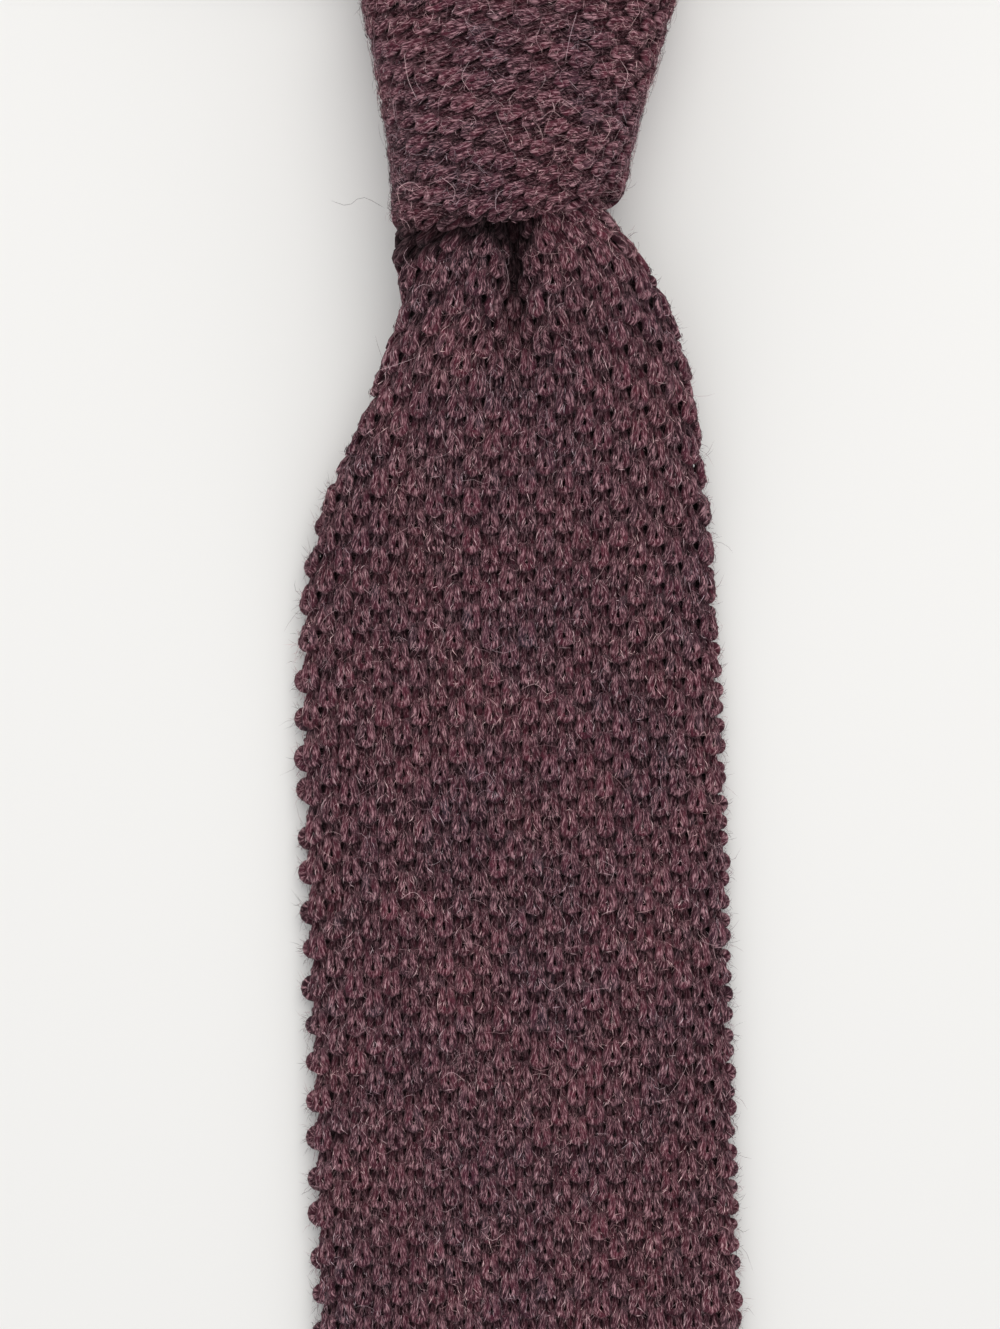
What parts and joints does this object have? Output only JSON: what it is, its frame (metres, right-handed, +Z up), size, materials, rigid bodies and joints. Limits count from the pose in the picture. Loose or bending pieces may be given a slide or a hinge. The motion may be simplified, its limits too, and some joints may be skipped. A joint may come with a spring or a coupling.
{
  "type": "knit necktie",
  "caption": "Thick moss-stitch wool necktie tied in a four-in-hand knot, laid face up with its neck loop open and the tail under the front blade.",
  "frame": {"origin": "on the table under the middle of the whole tie", "axes": "+Y from the square end towards the neck loop, +Z up out of the table, which is the way the front faces"},
  "size_m": [0.1358, 0.631, 0.032],
  "materials": {
    "knit_wool": "fuzzy heathered wool, matte"
  },
  "bodies": {
    "root": {"front_blade": "knit_wool", "knot_wrap": "knit_wool", "knot_turn": "knit_wool", "neck_band": "knit_wool", "tail": "knit_wool"}
  },
  "joints": []
}
